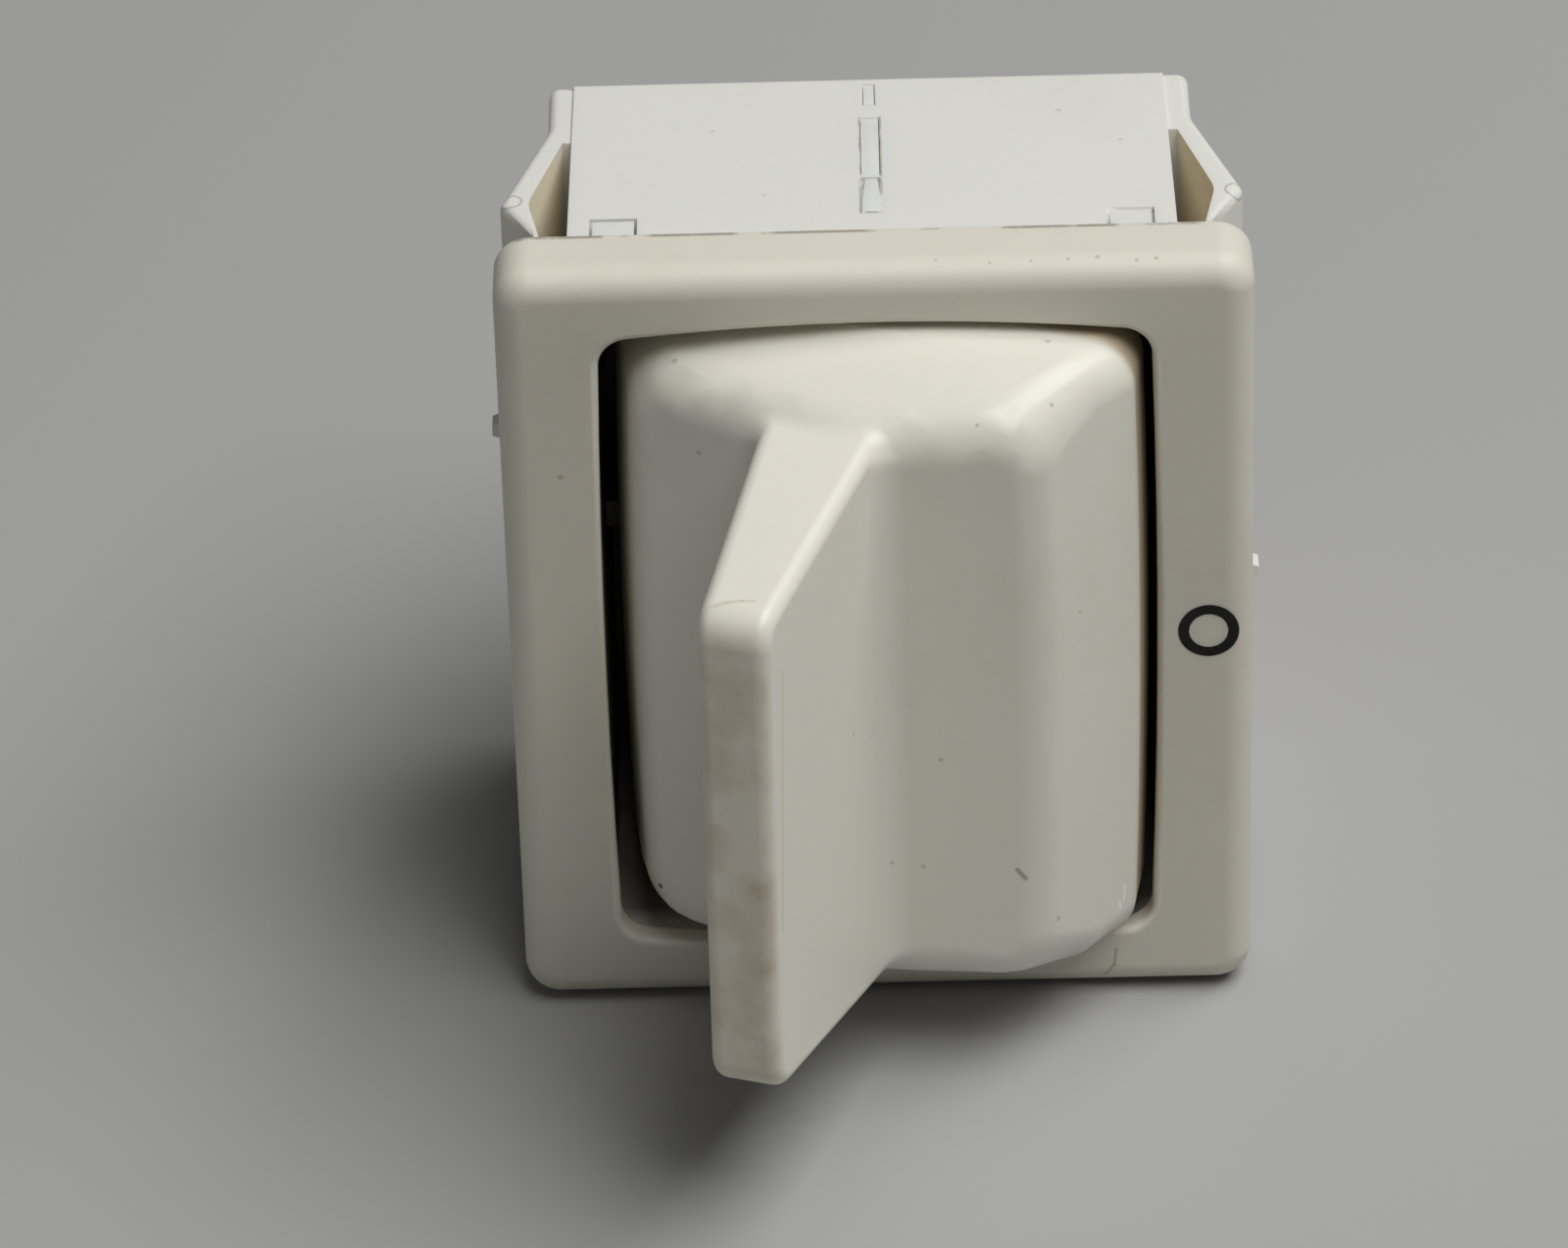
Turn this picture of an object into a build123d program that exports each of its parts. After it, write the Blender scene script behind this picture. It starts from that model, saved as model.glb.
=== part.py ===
from build123d import *
from math import atan2, cos, degrees, radians, sin, tan
import os

# A snap-in panel rocker switch with a tall finger fin, two poles, on one side and off the other.
# Frame: the panel's outer face is the plane y = 0, the origin is the middle of its cut-out,
# the front looks along -Y, the terminals along +Y, and +Z is up. Millimetres.

# Housing
housing_width = 24.3
housing_height = 32.4
housing_depth = 14.25          # from the panel's face to the rear edge
housing_wall_side = 0.95
housing_wall_end = 1.1
housing_draft_deg = 0.5
housing_rear_radius = 0.4
wall_bite = 0.2                # how deep inner ribs run into the walls
ledge_width = 0.7
ledge_length = 5.0
partition_thickness = 1.2
partition_length = 5.35
housing_half_width = housing_width / 2
housing_half_height = housing_height / 2
cavity_half_width = housing_half_width - housing_wall_side
cavity_half_height = housing_half_height - housing_wall_end

# Bezel frame, laid around the housing
bezel_margin_side = 2.85       # how far the frame reaches past the housing, left and right
bezel_margin_end = 1.3         # the same above and below
bezel_depth = 3.2
bezel_edge_radius = 1.2
bezel_corner_radius = 1.5
bezel_front_skin = 1.0         # thickness in front of the housing's rim
pocket_margin_side = 1.45      # room for the wings' ends inside the frame
rim_clearance = 0.1            # between the housing's outside and the frame above and below
opening_inset_side = 1.0       # how far the opening's edge lies inside the housing's outside
opening_inset_end = 1.15
opening_bow_side = 0.25        # how far each long edge bows out at its middle
opening_bow_end = 0.65         # the same for the short edges
opening_corner_radius = 1.3
opening_edge_radius = 0.3
tongue_root = 0.3              # how far the latch tongues run into the frame
bezel_width = housing_width + 2 * bezel_margin_side
bezel_height = housing_height + 2 * bezel_margin_end
opening_width = housing_width - 2 * opening_inset_side
opening_height = housing_height - 2 * opening_inset_end
pocket_half_width = housing_half_width + pocket_margin_side
pocket_half_height = housing_half_height + rim_clearance
rim_front = bezel_front_skin - bezel_depth

# Latch slots in the housing for the frame's tongues
latch_inset = 1.85             # from the housing's side to the middle of a latch
latch_width = 1.9
latch_depth = 3.4
latch_thickness = 0.75
latch_clearance = 0.12
latch_place = housing_half_width - latch_inset

# Snap wings, one on each side of the housing; their widths are past the housing's side
wing_root_length = 4.65        # rear part of the wing that is one with the wall
wing_slot_width = 0.3          # of the slot behind the wing, at its rear end
wing_root_width = 0.9
wing_straight = 3.45           # from the rear edge to where the wing flares
wing_peak_width = 2.75
wing_peak_depth = 5.0
wing_peak_thickness = 1.15
wing_neck_width = 1.27
wing_neck_depth = 2.0
wing_end_depth = 0.9
wing_end_thickness = 0.3
wing_end_slope = 0.11
wing_peak_radius = 0.5
wing_rear_radius = 0.5
wing_bend_radius = 2.0
wing_top_step = 0.12           # the wings stop this much short of the housing's top
wing_lug_width = 3.6
wing_lug_height = 2.1
wing_lug_length = 0.9
wing_lug_blunt = 0.4
wing_lug_depth = 7.7
wing_lug_place = 3.85
wing_root_depth = housing_depth - wing_root_length
wing_waist_depth = housing_depth - wing_straight

# Rocker, drawn upright about its pivot and then tilted
pivot_depth = -0.4             # y of the pivot line
tilt_deg = 18.0                # lean each side of upright
rocker_side_gap = 0.15         # from the opening's side to the widest line of the rocker
rocker_end_gap = 0.33          # from the opening's end to the rocker's end
rocker_skirt_taper = 0.4
rocker_skirt_drop = 2.4        # how far the skirt reaches behind the pivot
rocker_waist_rise = 0.3
shoulder_inset = 2.4           # from the widest line in to the shoulder
shoulder_rise = 5.65
fin_root_half = 2.4
fin_root_rise = 7.4
fin_root_radius = 1.5
fin_tip_half = 1.45
fin_tip_rise = 18.75
fin_tip_radius = 0.65
rocker_end_rise = 2.4          # where the end faces start to slope
rocker_crest_inset = 1.42      # how far the end faces have come in at the crest
rocker_crest_rise = 7.1
fin_foot_inset = 1.97
fin_foot_rise = 8.0
fin_end_inset = 3.62
fin_corner_radius = 1.5
rocker_corner_radius = 2.0     # of its outline, at the widest line
rocker_front_corner_radius = 3.6
rocker_edge_radius = 2.4       # around the front faces
rocker_apex_radius = 6.0       # under the fin
rocker_wall = 1.2
rib_thickness = 1.2
rib_drop = 1.5                 # how far the rib between the tubes reaches behind the pivot
fin_bury = 1.4                 # how deep the fin's root starts inside the rocker's front
fin_core_depth = 3.0           # how deep its core starts, so that it opens into the hollow
fin_core_root_half = 0.9
fin_core_tip_half = 0.5
fin_core_short = 2.35          # how far the fin's core stops from its tip
rocker_waist_half = opening_width / 2 - rocker_side_gap
rocker_skirt_half = rocker_waist_half - rocker_skirt_taper
shoulder_half = rocker_waist_half - shoulder_inset
rocker_half_length = opening_height / 2 - rocker_end_gap
rocker_crest_half_length = rocker_half_length - rocker_crest_inset
rocker_core_half_length = rocker_half_length - rocker_wall
fin_foot_half_length = rocker_half_length - fin_foot_inset
fin_end_half_length = rocker_half_length - fin_end_inset
fin_bury_rise = fin_root_rise - fin_bury
fin_core_rise = fin_tip_rise - fin_core_short

# Rocker pivot
trunnion_radius = 1.2
trunnion_clearance = 0.05
trunnion_inset = 0.2           # from the housing's outside to the trunnions' ends
trunnion_reach = housing_half_height - trunnion_inset

# Terminal base and the push-on blades it carries
blade_width = 6.3
blade_thickness = 0.8
blade_length = 9.2             # what stands out behind the housing
blade_tip_chamfer = 1.0
blade_hole_radius = 0.85
blade_hole_from_end = 3.2
blade_slot_clearance = 0.06
base_thickness = 2.1
base_clearance = 0.05
base_snap_height = 0.2
base_snap_length = 0.7
base_snap_inset = 0.85         # from the rear edge to the middle of the snap ridge
base_snap_margin = 2.65        # from the base's side to the end of the ridge
base_front = housing_depth - base_thickness
base_half_width = cavity_half_width - base_clearance
base_half_height = cavity_half_height - base_clearance
base_snap_depth = housing_depth - base_snap_inset
base_snap_half_width = base_half_width - base_snap_margin
blade_end = housing_depth + blade_length
load_blade_out = base_half_width - blade_thickness / 2
partition_start = base_front - partition_length
shelf_front = base_front - blade_thickness
pole_place = (cavity_half_height + partition_thickness / 2) / 2
poles = {"upper": pole_place, "lower": -pole_place}

# Common terminals, whose inner edge is the arms' fulcrum
fulcrum_height = 2.15          # in front of the base
fulcrum_edge_flat = 0.3
fulcrum_edge_slope = 0.6       # how far behind the edge its bevels start
fulcrum_horn_start = 2.15      # from the pole's middle to where the horns start
fulcrum_horn_height = 3.35
fulcrum_shoulder = 0.5
shoulder_height = 0.9
fulcrum_depth = base_front - fulcrum_height
fulcrum_horn_depth = base_front - fulcrum_horn_height
shoulder_front = base_front - shoulder_height

# Rocking contact arms and their contacts
contact_inset = 2.65           # from the load blade in to the contacts
arm_tail = 1.3                 # past the contact
arm_thickness = 0.7
arm_width = 5.0
arm_vee_deg = 14.0
arm_vee_half = 3.4
arm_tilt_deg = 7.2
arm_notch_half = 0.9
arm_notch_clearance = 0.15
arm_clearance = 0.06
contact_radius = 1.5
contact_height = 0.55
contact_shank_radius = 0.7
contact_fit = 0.02
contact_gap = 0.08
shelf_width = 5.0
shelf_tail = 1.7               # from the contacts in to the shelf's end
terminal_bend_radius = 0.5
rest_rib_width = 3.0           # ribs that the arms' left ends come to lie on
rest_rib_in = 1.1              # from the arm's end
rest_rib_out = 0.5
rest_rib_height = 1.79
contact_place = load_blade_out - contact_inset
arm_reach = contact_place + arm_tail
shelf_inner = contact_place - shelf_tail

# Plungers in the rocker's tubes
plunger_radius = 1.6
plunger_clearance = 0.05
plunger_nose_radius = 1.1
plunger_shoulder_radius = 0.4
plunger_tube_wall = 0.9
plunger_tube_root = 6.3        # in front of the pivot, inside the rocker's front wall
plunger_bore_top = 3.6         # in front of the pivot
plunger_shows = 5.25           # how far the plunger stands out of its tube
plunger_over_fulcrum = 0.95    # from the nose to the fulcrum when the rocker is upright
plunger_length = 6.4
spring_clearance = 0.05
spring_wire = 0.35
spring_turns = 6
spring_radius = 1.15
spring_seat_depth = 2.0        # how deep the spring sits in the plunger
plunger_reach = fulcrum_depth - pivot_depth - plunger_over_fulcrum
plunger_tube_end = plunger_reach - plunger_shows

# Marks moulded in the housing's top and bottom faces, laid out from its rear edge
window_from_rear = 0.65
window_length = 1.7
window_width = 0.5
groove_from_rear = 3.35
groove_length = 4.5
groove_width = 0.8
groove_depth = 0.6
plug_web = 0.25                # left standing between the groove and the plug's seat
plug_length = 2.75
plug_width_front = 0.5
plug_seat_depth = 0.2
window_end = housing_depth - window_from_rear
groove_end = housing_depth - groove_from_rear
groove_start = groove_end - groove_length
plug_end = groove_start - plug_web
plug_start = plug_end - plug_length

FACING_FRONT = Plane(origin=(0, 0, 0), x_dir=(1, 0, 0), z_dir=(0, -1, 0))    # a sketch's x, y are X, Z


def block(x0, x1, y0, y1, z0, z1):
    """A box between two corners."""
    middle = ((x0 + x1) / 2, (y0 + y1) / 2, (z0 + z1) / 2)
    return Pos(*middle) * Box(abs(x1 - x0), abs(y1 - y0), abs(z1 - z0))


def slab(points, z0, z1):
    """Closed outline in X and Y, raised from z0 to z1."""
    return Pos(0, 0, min(z0, z1)) * extrude(make_face(Polyline(points, close=True)), abs(z1 - z0))


def side_slab(points, half):
    """Closed outline in Y and Z, carried across from x = -half to x = half."""
    face = Plane.YZ * make_face(Polyline(points, close=True))
    return Pos(-half, 0, 0) * extrude(face, 2 * half)


def across(face, y0, y1):
    """A face in X and Z, carried from depth y0 to y1."""
    return Pos(0, y1, 0) * extrude(FACING_FRONT * face, y1 - y0)


def rod(radius, y0, y1, x=0.0, z=0.0):
    """A round bar along Y."""
    return Pos(x, (y0 + y1) / 2, z) * Rot(90, 0, 0) * Cylinder(radius, abs(y1 - y0))


def round_corner(face, x, y, radius):
    """Rounds the corner of a flat outline that lies nearest to a point."""
    return fillet(face.vertices().sort_by_distance((x, y))[0], radius)


def both_sides(points):
    """Right half of an outline, closed by its mirror image on the left."""
    return points + [(-x, y) for x, y in reversed(points) if x]


def bowed_outline(width, height, bow_side, bow_end, radius):
    """Rectangle in X and Z whose four edges bow outwards, with rounded corners."""
    x = width / 2
    z = height / 2
    corner_x = x - bow_side
    corner_z = z - bow_end
    top = ThreePointArc((-corner_x, corner_z), (0, z), (corner_x, corner_z))
    right = ThreePointArc((corner_x, corner_z), (x, 0), (corner_x, -corner_z))
    bottom = ThreePointArc((corner_x, -corner_z), (0, -z), (-corner_x, -corner_z))
    left = ThreePointArc((-corner_x, -corner_z), (-x, 0), (-corner_x, corner_z))
    face = make_face([top, right, bottom, left])
    return fillet(face.vertices(), radius)


def make_bezel():
    """Front frame, hollow behind, with a rim that lies on the panel and four latch tongues."""
    frame = across(RectangleRounded(bezel_width, bezel_height, bezel_corner_radius), -bezel_depth, 0)
    frame = fillet(frame.faces().sort_by(Axis.Y)[0].edges(), bezel_edge_radius)
    opening = bowed_outline(opening_width, opening_height, opening_bow_side, opening_bow_end,
                            opening_corner_radius)
    frame -= across(opening, -bezel_depth - 1, 1)
    lip = frame.faces().sort_by(Axis.Y)[0].inner_wires()[0]
    frame = fillet(lip.edges(), opening_edge_radius)
    frame -= block(-pocket_half_width, pocket_half_width, rim_front, 1,
                   -pocket_half_height, pocket_half_height)
    for side in (-1, 1):
        x0 = side * latch_place - latch_width / 2 + latch_clearance
        x1 = side * latch_place + latch_width / 2 - latch_clearance
        for end in (-1, 1):
            inner = end * (housing_half_height - latch_thickness + latch_clearance)
            frame += block(x0, x1, rim_front - tongue_root, 0, inner, end * (pocket_half_height + tongue_root))
            frame += block(x0, x1, -tongue_root, latch_depth - latch_clearance, inner,
                           end * (housing_half_height - latch_clearance / 2))
    return frame


def wing_outline(side):
    """One snap wing seen from above: root, flared peak and a wedge-shaped end."""
    end_width = wing_neck_width - (wing_neck_depth - wing_end_depth) * wing_end_slope
    hollow_width = wing_peak_width - wing_peak_thickness
    points = [
        (-housing_wall_side / 2, housing_depth),
        (wing_root_width, housing_depth),
        (wing_root_width, wing_waist_depth),
        (wing_peak_width, wing_peak_depth),
        (wing_neck_width, wing_neck_depth),
        (end_width, wing_end_depth),
        (end_width - wing_end_thickness, wing_end_depth),
        (hollow_width, wing_peak_depth),
        (wing_slot_width, wing_root_depth),
        (0, wing_root_depth),
        (-housing_wall_side / 2, wing_root_depth),
    ]
    face = make_face(Polyline([(side * (housing_half_width + x), y) for x, y in points], close=True))
    bends = [(wing_root_width, housing_depth, wing_rear_radius),
             (wing_peak_width, wing_peak_depth, wing_peak_radius),
             (wing_root_width, wing_waist_depth, wing_bend_radius),
             (hollow_width, wing_peak_depth, wing_bend_radius)]
    for x, y, radius in bends:
        face = round_corner(face, side * (housing_half_width + x), y, radius)
    return face


def make_wing(side):
    """A snap wing with its small pointed lug."""
    reach = housing_half_height - wing_top_step
    wing = Pos(0, 0, -reach) * extrude(wing_outline(side), 2 * reach)
    lug_middle = -side * wing_lug_place
    foot = side * (housing_half_width + wing_peak_width - wing_peak_thickness)
    out = side * (housing_half_width + wing_lug_width)
    half = wing_lug_height / 2
    blunt = wing_lug_blunt / 2
    lug = [(foot, -half), (out, -blunt), (out, blunt), (foot, half)]
    lug_face = make_face(Polyline([(x, z + lug_middle) for x, z in lug], close=True))
    lug_front = wing_lug_depth - wing_lug_length / 2
    return wing + across(lug_face, lug_front, lug_front + wing_lug_length)


def top_marks():
    """Shallow grooves and a tapered plug seat, drawn for the top face."""
    floor = housing_half_height - groove_depth
    above = housing_half_height + 1
    marks = block(-groove_width / 2, groove_width / 2, groove_start, groove_end, floor, above)
    marks += block(-window_width / 2, window_width / 2, window_end - window_length, window_end, floor, above)
    plug = [(-groove_width / 2, plug_end), (groove_width / 2, plug_end),
            (plug_width_front / 2, plug_start), (-plug_width_front / 2, plug_start)]
    return marks + slab(plug, housing_half_height - plug_seat_depth, above)


def make_housing():
    """Moulded tub, open in front and behind, with snap wings, ledges and a pole partition."""
    taper = housing_depth * tan(radians(housing_draft_deg))
    outline = both_sides([(housing_half_width, rim_front), (housing_half_width, 0),
                          (housing_half_width - taper, housing_depth)])
    body = slab(outline, -housing_half_height, housing_half_height)
    for side in (-1, 1):
        body += make_wing(side)
    body -= block(-cavity_half_width, cavity_half_width, rim_front - 1, housing_depth + 1,
                  -cavity_half_height, cavity_half_height)
    for side in (-1, 1):
        for end in (-1, 1):
            body += block(side * (cavity_half_width - ledge_length), side * (cavity_half_width + wall_bite),
                          partition_start, base_front,
                          end * (cavity_half_height - ledge_width), end * (cavity_half_height + wall_bite))
    body += block(-cavity_half_width - wall_bite, cavity_half_width + wall_bite, partition_start, base_front,
                  -partition_thickness / 2, partition_thickness / 2)
    bore = Cylinder(trunnion_radius + trunnion_clearance, 2 * housing_half_height + 2)
    body -= Pos(0, pivot_depth, 0) * bore
    snap_half = base_snap_length / 2 + base_clearance
    for end in (-1, 1):
        for side in (-1, 1):
            body -= block(side * latch_place - latch_width / 2, side * latch_place + latch_width / 2,
                          rim_front - 1, latch_depth,
                          end * (housing_half_height - latch_thickness), end * (housing_half_height + 1))
        body -= block(-base_snap_half_width - base_clearance, base_snap_half_width + base_clearance,
                      base_snap_depth - snap_half, base_snap_depth + snap_half,
                      end * (cavity_half_height - wall_bite),
                      end * (cavity_half_height + base_snap_height))
    body = fillet(body.faces().sort_by(Axis.Y)[-1].outer_wire().edges(), housing_rear_radius)
    marks = top_marks()
    body -= marks
    body -= mirror(marks, Plane.XY)
    return body


def rocker_outline(rise, half_width, half_length, radius):
    """The rocker's outline at a height in front of the pivot; its ends bow as the opening's do."""
    bow_end = opening_bow_end * (2 * half_width / opening_width) ** 2
    face = bowed_outline(2 * half_width, 2 * half_length, opening_bow_side, bow_end, radius)
    return (Pos(0, -rise, 0) * (FACING_FRONT * face)).faces()[0].outer_wire()


def rocker_form(inset):
    """The rocker without its fin: skirts, steep flanks and sloping front; its hollow is the same, inset."""
    flank = (rocker_waist_half - shoulder_half) / (shoulder_rise - rocker_waist_rise)
    end = rocker_crest_inset / (rocker_crest_rise - rocker_end_rise)
    front = (fin_root_rise - shoulder_rise) / (shoulder_half - fin_root_half)
    apex = fin_root_rise + front * fin_root_half - inset
    corner = rocker_corner_radius - inset
    half_length = rocker_half_length - inset
    top_rise = apex + 1

    def half_width(rise):
        return rocker_waist_half - inset - flank * (rise - rocker_waist_rise)

    rim = rocker_outline(rocker_waist_rise, rocker_waist_half - inset, half_length, corner)
    bend = rocker_outline(rocker_end_rise, half_width(rocker_end_rise), half_length, corner)
    top = rocker_outline(top_rise, half_width(top_rise), half_length - end * (top_rise - rocker_end_rise),
                         rocker_front_corner_radius - inset)
    slopes = make_face(Polyline(both_sides([
        (opening_width, rocker_skirt_drop),
        (opening_width, front * opening_width - apex),
        (0, -apex),
    ]), close=True))
    slopes = round_corner(slopes, 0, -apex, rocker_apex_radius)
    form = Solid.make_loft([rim, bend, top], True)
    form &= Pos(0, 0, -opening_height / 2) * extrude(slopes, opening_height)
    skirt = rocker_outline(-rocker_skirt_drop, rocker_skirt_half - inset, half_length, corner)
    return form, Solid.make_loft([rim, skirt], True)


def rocker_body():
    """The rocker's outside, with its front faces rounded into the flanks and ends."""
    form, skirt = rocker_form(0)
    fronts = [face for face in form.faces() if face.normal_at().Y < -0.93]
    others = [edge for face in form.faces() if face.normal_at().Y > -0.93 for edge in face.edges()]
    edges = [edge for face in fronts for edge in face.edges() if any(edge.is_same(other) for other in others)]
    return fillet(edges, rocker_edge_radius) + skirt


def wedge(root_rise, root_half, root_length, tip_rise, tip_half, tip_length):
    """A blade that tapers both ways from its root to its tip, standing out along -Y."""
    plan = slab(both_sides([(root_half, -root_rise), (tip_half, -tip_rise)]), -root_length, root_length)
    return plan & side_slab([(-root_rise, root_length), (-tip_rise, tip_length),
                             (-tip_rise, -tip_length), (-root_rise, -root_length)], root_half + 1)


def fin_size(rise):
    """Half thickness and half length of the fin at a height in front of the pivot."""
    thin = (fin_root_half - fin_tip_half) / (fin_tip_rise - fin_root_rise)
    short = (fin_foot_half_length - fin_end_half_length) / (fin_tip_rise - fin_foot_rise)
    return (fin_root_half - thin * (rise - fin_root_rise),
            fin_foot_half_length - short * (rise - fin_foot_rise))


def make_fin():
    """The finger fin, with rounded tip corners and edges."""
    fin = wedge(fin_bury_rise, *fin_size(fin_bury_rise), fin_tip_rise, fin_tip_half, fin_end_half_length)
    tip = fin.faces().sort_by(Axis.Y)[0]
    fin = fillet([edge for edge in tip.edges() if abs(edge.center().Z) > 1], fin_corner_radius)
    flanks = [face for face in fin.faces() if abs(face.normal_at().X) > 0.8]
    edges = [edge for face in flanks for edge in face.edges() if edge.center().Y < -fin_bury_rise - 0.01]
    return fillet(edges, fin_tip_radius)


def rocker_core():
    """What the rocker is hollowed by: its inside, open behind, and a slot up into the fin."""
    form, skirt = rocker_form(rocker_wall)
    opening = skirt.faces().sort_by(Axis.Y)[-1]
    root = fin_root_rise - fin_core_depth
    slot = wedge(root, fin_core_root_half, fin_size(root)[1] - rocker_wall,
                 fin_core_rise, fin_core_tip_half, fin_size(fin_core_rise)[1] - rocker_wall)
    return form + skirt + extrude(opening, 1) + slot


def lean(shape):
    """Turns an upright piece about the pivot to the on side and sets it at the pivot."""
    return Pos(0, pivot_depth, 0) * Rot(0, 0, -tilt_deg) * shape


def make_rocker():
    """Hollow rocker with its fin, trunnions and two plunger tubes."""
    solid = rocker_body() + make_fin()
    roots = [edge for edge in solid.edges()
             if edge.length > fin_foot_half_length and abs(edge.center().Y + fin_root_rise) < 0.3
             and abs(abs(edge.center().X) - fin_root_half) < 0.3]
    solid = fillet(roots, fin_root_radius)
    solid -= rocker_core()
    tube_radius = plunger_radius + plunger_clearance + plunger_tube_wall
    for place in poles.values():
        solid += rod(tube_radius, -plunger_tube_root, plunger_tube_end, z=place)
    solid += block(-rib_thickness / 2, rib_thickness / 2, -plunger_tube_root, rib_drop, -pole_place, pole_place)
    for place in poles.values():
        solid -= rod(plunger_radius + plunger_clearance, -plunger_bore_top, plunger_tube_end + 1, z=place)
    pin = Cylinder(trunnion_radius, trunnion_reach - rocker_core_half_length)
    for end in (-1, 1):
        solid += Pos(0, 0, end * (trunnion_reach + rocker_core_half_length) / 2) * pin
    return lean(solid)


def make_plunger(place):
    """Cup-shaped plunger with a round nose, sliding in its tube in the rocker."""
    y_nose = plunger_reach
    y_rim = plunger_reach - plunger_length
    body = rod(plunger_radius, y_rim, y_nose - plunger_nose_radius, z=place)
    nose_base = body.faces().sort_by(Axis.Y)[-1]
    body = fillet(nose_base.edges(), plunger_shoulder_radius)
    body += Pos(0, y_nose - plunger_nose_radius, place) * Sphere(plunger_nose_radius)
    body -= rod(spring_radius + spring_wire / 2 + spring_clearance, y_rim - 1, y_rim + spring_seat_depth, z=place)
    return lean(body)


def make_spring(place):
    """Open coil spring between the tube's floor and the plunger's cup."""
    y0 = -plunger_bore_top + spring_wire / 2 + spring_clearance
    y1 = plunger_reach - plunger_length + spring_seat_depth - spring_wire / 2 - spring_clearance
    height = y1 - y0
    path = Helix(height / spring_turns, height, spring_radius)
    start = Plane(origin=path @ 0, z_dir=path % 0)
    coil = sweep(start * Circle(spring_wire / 2), path)
    return lean(Pos(0, y0, place) * Rot(-90, 0, 0) * coil)


def tilt_arm(shape):
    """Turns a level contact arm about its fulcrum to the on side."""
    return Pos(0, fulcrum_depth, 0) * Rot(0, 0, arm_tilt_deg) * shape


def arm_level():
    """Depth of the arm's flat ends, middle of its thickness, from the fulcrum."""
    return -arm_thickness / 2 - arm_clearance - arm_vee_half * tan(radians(arm_vee_deg))


def make_arm(place):
    """Bent strip that rocks on the common terminal's edge."""
    level = arm_level()
    valley = -arm_thickness / 2 - arm_clearance
    middle = [(-arm_reach, level), (-arm_vee_half, level), (0, valley), (arm_vee_half, level), (arm_reach, level)]
    line = Polyline(middle)
    strip = make_face(offset(line, arm_thickness / 2, side=Side.BOTH, kind=Kind.INTERSECTION).edges())
    arm = Pos(0, 0, place - arm_width / 2) * extrude(strip, arm_width)
    notch_inner = fulcrum_horn_start - arm_notch_clearance
    for end in (-1, 1):
        arm -= block(-arm_notch_half, arm_notch_half, -3, 1,
                     place + end * notch_inner, place + end * (arm_width / 2 + 1))
    arm -= rod(contact_shank_radius + contact_fit, level - 1, level + 1, x=contact_place, z=place)
    return tilt_arm(arm)


def rivet(y_seat, y_head, y_tail, x, z):
    """Contact rivet: a domed head on its seat and a shank through the metal."""
    head = rod(contact_radius, y_seat, y_head, x=x, z=z)
    face = head.faces().filter_by(GeomType.PLANE).sort_by_distance((x, y_head, z))[0]
    head = fillet(face.edges(), contact_height * 0.4)
    return head + rod(contact_shank_radius, y_seat, y_tail, x=x, z=z)


def make_moving_contact(place):
    under = arm_level() + arm_thickness / 2
    return tilt_arm(rivet(under, under + contact_height, under - arm_thickness, contact_place, place))


def fixed_contact_spot():
    """Where the moving contact's face comes to lie, in X and Y."""
    face = arm_level() + arm_thickness / 2 + contact_height
    turn = radians(arm_tilt_deg)
    x = contact_place * cos(turn) - face * sin(turn)
    edge = contact_radius * sin(turn) * 0.5
    y = fulcrum_depth + contact_place * sin(turn) + face * cos(turn) + edge + contact_gap
    return x, y


def make_fixed_contact(place):
    x, y = fixed_contact_spot()
    return rivet(shelf_front, y, base_front, x, place)


def blade_face(y_start, place):
    """Outline of a push-on blade in Y and Z, with a chamfered tip."""
    half = blade_width / 2
    chamfer = blade_tip_chamfer
    return make_face(Polyline((y_start, place - half), (blade_end - chamfer, place - half),
                              (blade_end, place - half + chamfer), (blade_end, place + half - chamfer),
                              (blade_end - chamfer, place + half), (y_start, place + half), close=True))


def pierce(blade, x, place):
    hole = Pos(x, blade_end - blade_hole_from_end, place) * Rot(0, 90, 0) * \
        Cylinder(blade_hole_radius, 4 * blade_thickness)
    return blade - hole


def make_common_terminal(place):
    """Blade whose inner edge is the fulcrum, with two horns that keep the arm in place."""
    blade = extrude(Plane.YZ * blade_face(base_front, place), blade_thickness / 2, both=True)
    half = blade_width / 2
    shoulder = half + fulcrum_shoulder
    head = Polyline((base_front, place - shoulder), (shoulder_front, place - shoulder),
                    (shoulder_front, place - half), (fulcrum_horn_depth, place - half),
                    (fulcrum_horn_depth, place - fulcrum_horn_start), (fulcrum_depth, place - fulcrum_horn_start),
                    (fulcrum_depth, place + fulcrum_horn_start), (fulcrum_horn_depth, place + fulcrum_horn_start),
                    (fulcrum_horn_depth, place + half), (shoulder_front, place + half),
                    (shoulder_front, place + shoulder), (base_front, place + shoulder), close=True)
    blade += extrude(Plane.YZ * make_face(head), blade_thickness / 2, both=True)
    bevel = fulcrum_depth + fulcrum_edge_slope
    above = fulcrum_depth - fulcrum_edge_flat
    edge = [(blade_thickness, above), (blade_thickness, bevel), (blade_thickness / 2, bevel),
            (fulcrum_edge_flat / 2, fulcrum_depth), (fulcrum_edge_flat / 2, above)]
    for side in (-1, 1):
        blade -= slab([(side * x, y) for x, y in edge], place - fulcrum_horn_start, place + fulcrum_horn_start)
    return pierce(blade, 0, place)


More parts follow.
